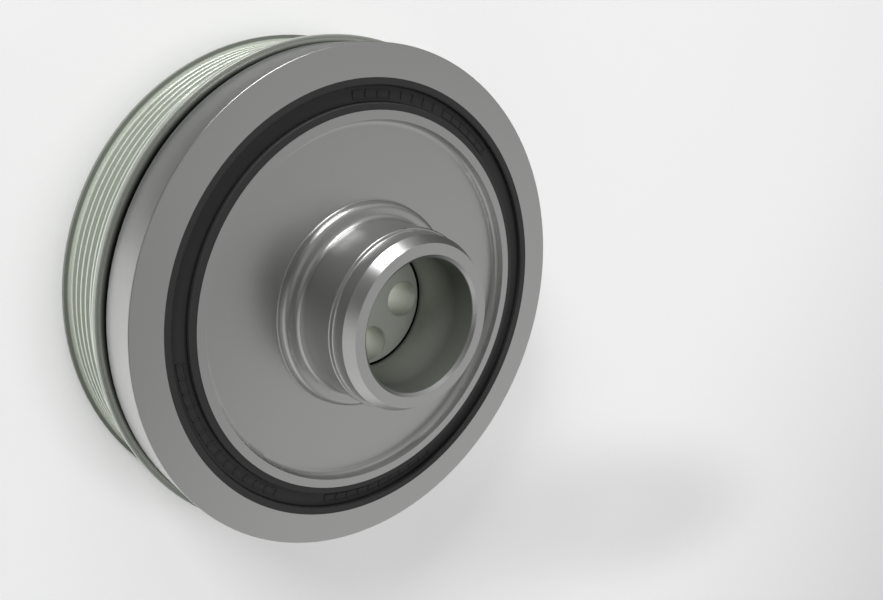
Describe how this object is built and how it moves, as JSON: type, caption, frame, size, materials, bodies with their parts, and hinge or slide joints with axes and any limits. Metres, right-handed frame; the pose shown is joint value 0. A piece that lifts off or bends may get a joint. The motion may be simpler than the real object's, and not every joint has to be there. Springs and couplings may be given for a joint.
{
  "type": "harmonic balancer",
  "caption": "Crankshaft harmonic balancer: turned hub with sealing nose and pilot bore, bonded rubber ring, inertia ring and ribbed belt pulley.",
  "frame": {"origin": "centre of the pulley's rear edge, on the crankshaft axis", "axes": "+Z along the crankshaft axis towards the nose, with a bolt hole on +X"},
  "size_m": [0.15, 0.15, 0.0637],
  "materials": {
    "hub_steel": "fine turned, satin",
    "rubber": "moulded, matt",
    "ring_iron": "turned, satin",
    "phosphated_steel": "zinc phosphate, satin"
  },
  "bodies": {
    "root": {"hub": "hub_steel", "rubber_ring": "rubber", "inertia_ring": "ring_iron", "pulley": "phosphated_steel"}
  },
  "joints": []
}
